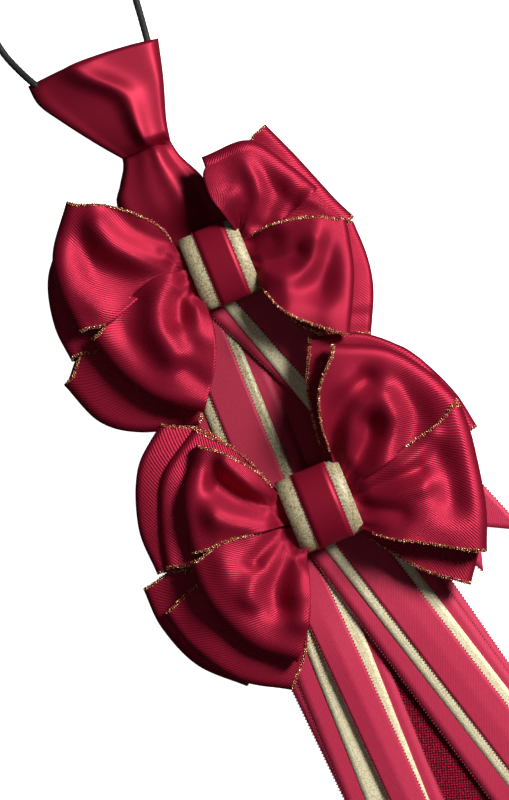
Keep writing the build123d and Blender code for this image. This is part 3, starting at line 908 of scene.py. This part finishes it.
def wrap(bow, middle_x, middle_y, gold_w, satin_w):
    body = bow + "_bow"
    (_, y_a, low), (_, y_b, high) = ([v / MM for v in corner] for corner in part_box(bow + "_gold_band"))
    gold_line, satin_line = (waist_loop(x, middle_y, low, high, (y_b - y_a) / 2, out)
                             for x, out in ((middle_x, GOLD_OUT), (middle_x + SATIN_SHIFT, SATIN_OUT)))
    gold, gold_round = wrap_band(bow + "_gold_wrap", body, (bow + "_gold_band", bow + "_binding_thread"),
                                 gold_line, gold_w, wrap_glitter_and_painted_shade, "gold_glitter_ribbon")
    over, over_round = wrap_band(bow + "_satin_wrap", body, (bow + "_satin_band",),
                                 satin_line, satin_w, band_satin, "bow_satin")
    shifts = [Vector((side * (satin_w / 2 + 0.2), 0, 0)) for side in (-1, 1)]
    edges = [[p + shift for p in satin_line + satin_line[:1]] for shift in shifts]
    teeth = grains(bow + "_wrap_teeth", edges, picot_thread, 1.45, 0.8, 0.7)
    dress(teeth, body, "bow_satin")


wrap("upper", 1.3, UPPER_Y, 25.5, 13.5)
wrap("lower", 1.9, LOWER_Y, 28.0, 15.2)

# %% [markdown]
# ## Streamers
# The streamers are flat ribbons in three layers: a wide satin one, a gold glitter one and a narrow
# satin one on top. They leave the bows a few millimetres up and sink towards the floor. Their level
# depends only on how far a point is from the pivot they swing on, so that a tail that swings keeps
# clear of the one below. Here and there a top ribbon arches up and throws a shadow on the gold.

# %% One streamer
SINK_FROM, SINK_OVER, SINK_TO = 24.0, 110.0, 0.45
RIBBON_COLUMNS = 13
ROW_LENGTH = 3.5
CUT_OVER = 40
ARCH_FROM = 40.0


def streamer(name, cad_node, body, width, start, angle, length, material, slant=0, notch=0, arch=0, widen=0):
    """A flat ribbon from its start, at an angle from straight down, with a slanted or notched end."""
    low, high = (v[2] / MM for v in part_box(cad_node))
    level = (low + high) / 2
    turn = math.radians(angle)
    ahead = Vector((math.sin(turn), -math.cos(turn)))
    across = Vector((math.cos(turn), math.sin(turn)))
    steps = max(12, int(length / ROW_LENGTH))
    pivot = Vector((0, UPPER_Y if body in ("tie", "side_tail") else LOWER_Y))
    rows = []
    for k in range(steps + 1):
        row = []
        for c in range(RIBBON_COLUMNS):
            t = c / (RIBBON_COLUMNS - 1)
            here = length * k / steps
            cut = slant * (t - 0.5) + notch * (abs(2 * t - 1) - 1)
            here += cut * ease((here - length + CUT_OVER) / CUT_OVER)
            p = Vector(start) + ahead * here + across * ((width + widen * here / length) * (t - 0.5))
            far = (p - pivot).length
            z = level
            if body != "tie":
                z = level * (1 - (1 - SINK_TO) * ease((far - SINK_FROM) / SINK_OVER))
                z += 0.25 * (1 + math.sin(far / 17.0)) * ease((far - 20) / 40)
            hump = ease((here - ARCH_FROM) / 45) * ease((length - here) / 35)
            row.append(Vector((p.x, p.y, z + arch * hump * (1 - 0.35 * abs(2 * t - 1)))))
        rows.append(row)
    piece = cloth_mesh(name, [face_up(rows)], width, 0.16, material)
    golden = material in (gold_glitter, wrap_glitter_and_painted_shade)
    slot = "gold_glitter_ribbon" if golden else "streamer_satin"
    dress(piece, body, slot, cad_node)
    if golden:
        lines = [[row[c].lerp(row[c + 1], 0.3) + Vector((0, 0, 0.1)) for row in rows]
                 for c in (1, RIBBON_COLUMNS - 3)]
        edge = grains(name + "_seam", lines, seam_thread, 1.1, 0.62, 0.2)
    else:
        out = Vector((across.x, across.y, 0)) * 0.18
        lines = [[row[c] + (out if c else -out) for row in rows] for c in (0, RIBBON_COLUMNS - 1)]
        edge = grains(name + "_teeth", lines, picot_thread, 1.45, 0.72, 0.62)
    dress(edge, body, slot)


# %% Tails of the lower bow, the side tail and the carrier ribbons
STREAMERS = (
    # The three carrier ribbons take a darkened satin and the darker glitter: painted shade of the bows above
    # them.
    ("carrier_wide", 38, (-15.6, 12), 0, 136, carrier_satin_painted_shade, {}),
    ("carrier_gold", 25, (-15.8, 12), 0, 136, wrap_glitter_and_painted_shade, {}),
    ("carrier_narrow", 16, (-15.4, 12), 0, 136, carrier_satin_painted_shade, {}),
    ("side_tail_wide", 38, (-2.1, 10), 22.5, 181, streamer_satin, dict(notch=15, widen=-13)),
    ("side_tail_gold", 25, (0.9, 10), 17.5, 112, gold_glitter, {}),
    ("side_tail_narrow", 16, (0.9, 10), 19.5, 108, streamer_satin, {}),
    ("left_tail_under", 38, (-24, -97), 3.5, 192, streamer_satin, dict(slant=12)),
    ("left_tail_wide", 38, (-16, -97), 0.2, 206, streamer_satin, dict(notch=15)),
    ("left_tail_gold", 25, (-12.8, -97), -0.6, 200, gold_glitter, dict(slant=-9)),
    ("left_tail_narrow", 14, (-16.6, -97), 2.6, 196, streamer_satin, dict(slant=8, arch=3.4)),
    ("inner_tail_ribbon", 38, (-2.5, -97), 6.5, 190, wrong_side, dict(notch=15)),
    ("main_tail_under", 38, (8.4, -97), 12.5, 194, streamer_satin, dict(slant=-12)),
    ("main_tail_wide", 38, (2.6, -97), 14.2, 206, streamer_satin, dict(notch=15, arch=1.2)),
    ("main_tail_gold", 25, (2.1, -97), 15.4, 203, gold_glitter, dict(slant=9, arch=1.2)),
    ("main_tail_narrow", 16, (2.4, -97), 15.3, 198, streamer_satin, dict(slant=-8, arch=1.6)),
)
for cad_node, width, start, angle, length, material, extra in STREAMERS:
    body = "tie" if cad_node.startswith("carrier") else cad_node.rsplit("_", 1)[0]
    name = "inner_tail_strip" if body == "inner_tail" else cad_node + "_ribbon"
    streamer(name, cad_node, body, width, start, angle, length, material, **extra)
print(len(STREAMERS), "streamers laid")

# %% [markdown]
# ## The knot and the blade
# The knot is satin pulled round a foam filling, so it is a closed form: it narrows downwards, one
# ridge crosses it from top left to bottom middle, and its lower left edge shows the cloth's turned
# strip. A padded form like this is easy to make as rings: each ring goes over the front and back
# under the form, between a left and a right edge line. The blade comes out of the knot's lower end
# the same way and gets flat where the bow lies on it.

# %% A padded form between two edge lines


def padded_form(name, left, right, rings, columns, top, bottom, bulge, width):
    """Rings over the front and under the back, drawn together at both ends."""
    side_a, side_b = smooth_line(left, rings), smooth_line(right, rings)
    verts, faces, uvs = [], [], []
    around = 2 * (columns - 1)
    for k in range(rings):
        s = k / (rings - 1)
        for c in range(around):
            front = c < columns - 1
            t = c / (columns - 1) if front else 2 - c / (columns - 1)
            p = side_a[k].lerp(side_b[k], t)
            p = p + Vector((0, bulge * math.sin(math.pi * t) * (1 - s) ** 3))
            verts.append(Vector((p.x, p.y, (top if front else bottom)(s, t, p))) * MM)
            uvs.append((width * t * MM, s * (side_a[0] - side_a[-1]).length * MM))
    for k in range(rings - 1):
        for c in range(around):
            a, b = k * around + c, k * around + (c + 1) % around
            faces.append((a, a + around, b + around, b))
    faces.append(tuple(range(around)))
    faces.append(tuple((rings - 1) * around + c for c in reversed(range(around))))
    piece = cloth_piece(name, verts, faces, uvs, tie_satin)
    print(name, "volume", round(face_out(piece.data), 1), "cm3")
    return piece


def dome(t, ridge, sharp, fall):
    """Height from 0 at both edges to 1 at the ridge."""
    u = (t - ridge) / (ridge if t < ridge else 1 - ridge)
    return max(0.0, 1 - abs(u) ** sharp) ** fall


def end_round(s, near, far):
    """Draws a form together at its ends, over the shares near and far of its length."""
    a = min(1.0, s / near)
    b = min(1.0, (1 - s) / far)
    return math.sqrt(max(0.0, 1 - (1 - a) ** 2)) * math.sqrt(max(0.0, 1 - (1 - b) ** 2))


# %% The knot
KNOT_MIDDLE, KNOT_BACK = 7.0, 0.6


def knot_top(s, t, p):
    ridge = 0.36 + 0.27 * ease(s / 0.5) - 0.06 * ease((s - 0.5) / 0.5)
    rise = (t / ridge) ** 0.80 if t < ridge else dome(t, ridge, 22.0, 0.6)
    z = KNOT_MIDDLE + (10.2 - 3.0 * s) * rise * end_round(s, 0.05, 0.10)
    z += 3.2 * bell(t - ridge, 0.13 if t > ridge else 0.10) * end_round(s, 0.1, 0.2)
    z += 0.9 * bell(t - 0.05, 0.06) * ease(s / 0.1) * (1 - 0.5 * s)
    return z


def knot_under(s, t, p):
    return KNOT_MIDDLE - (KNOT_MIDDLE - KNOT_BACK) * dome(t, 0.5, 3.0, 0.5) * end_round(s, 0.07, 0.10)


KNOT_LEFT = [(-45.3, 100.2), (-44.0, 91), (-37.5, 80.5), (-27.5, 66.5), (-20.0, 57.0)]
KNOT_RIGHT = [(13.3, 98.4), (9.0, 82.0), (3.8, 66.0), (1.8, 56.5)]
knot = padded_form("knot_satin", KNOT_LEFT, KNOT_RIGHT, 60, 48, knot_top, knot_under, 2.4, 58.0)
dress(knot, "tie", "tie_satin", "tie_knot", "knot_core")

# %% The blade


def blade_front(y):
    """How far the blade stands up: full below the knot, flat from the bow's pad on."""
    return 1.1 + 7.0 * ease((y - 12) / 22)


def blade_top(s, t, p):
    up = ease((p.y - 14) / 20)
    ridge = 0.5 + 0.16 * up
    z = 1.2 + blade_front(p.y) * dome(t, ridge, 2.6, 0.7) * end_round(s, 0.03, 0.03)
    z += 1.6 * up * bell(t - ridge, 0.10)
    z -= 2.4 * up * bell(t - 0.86, 0.09)
    z += 0.8 * up * bell(t - 0.98, 0.05)
    z -= 1.0 * up * bell(t - 0.26, 0.13)
    z += 0.5 * up * bell(t - 0.08, 0.06)
    return max(z, 1.25)


def blade_under(s, t, p):
    return 1.2 - 1.0 * dome(t, 0.5, 6.0, 0.5) * end_round(s, 0.03, 0.03)


BLADE_LEFT = [(-19.5, 60), (-21, 54), (-25.5, 47), (-29.6, 39), (-27, 18), (-24, 0), (-21, -60),
              (-19, -136), (-2, -150)]
BLADE_RIGHT = [(1.4, 60), (3.2, 50), (8.6, 38), (10.4, 26), (18, 0), (18, -60), (19, -136), (2, -150)]
blade = padded_form("blade_satin", BLADE_LEFT, BLADE_RIGHT, 90, 40, blade_top, blade_under, 0.0, 50.0)
dress(blade, "tie", "tie_satin", "tie_blade", "blade_interlining")

# %% [markdown]
# ## CAD parts that stay
# The backing pads and the two thread shanks have their true shape already, so each keeps its mesh and
# only gets its finish. The fillings and binding threads lie hidden in the pieces that stand for them.

# %% Finishes for the CAD parts
for bow in ("upper", "lower"):
    for part, material in (("_backing_pad", felt), ("_shank", sewing_thread)):
        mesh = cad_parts[bow + part].data
        mesh.materials.clear()
        mesh.materials.append(material)
        print(bow + part, "finished")
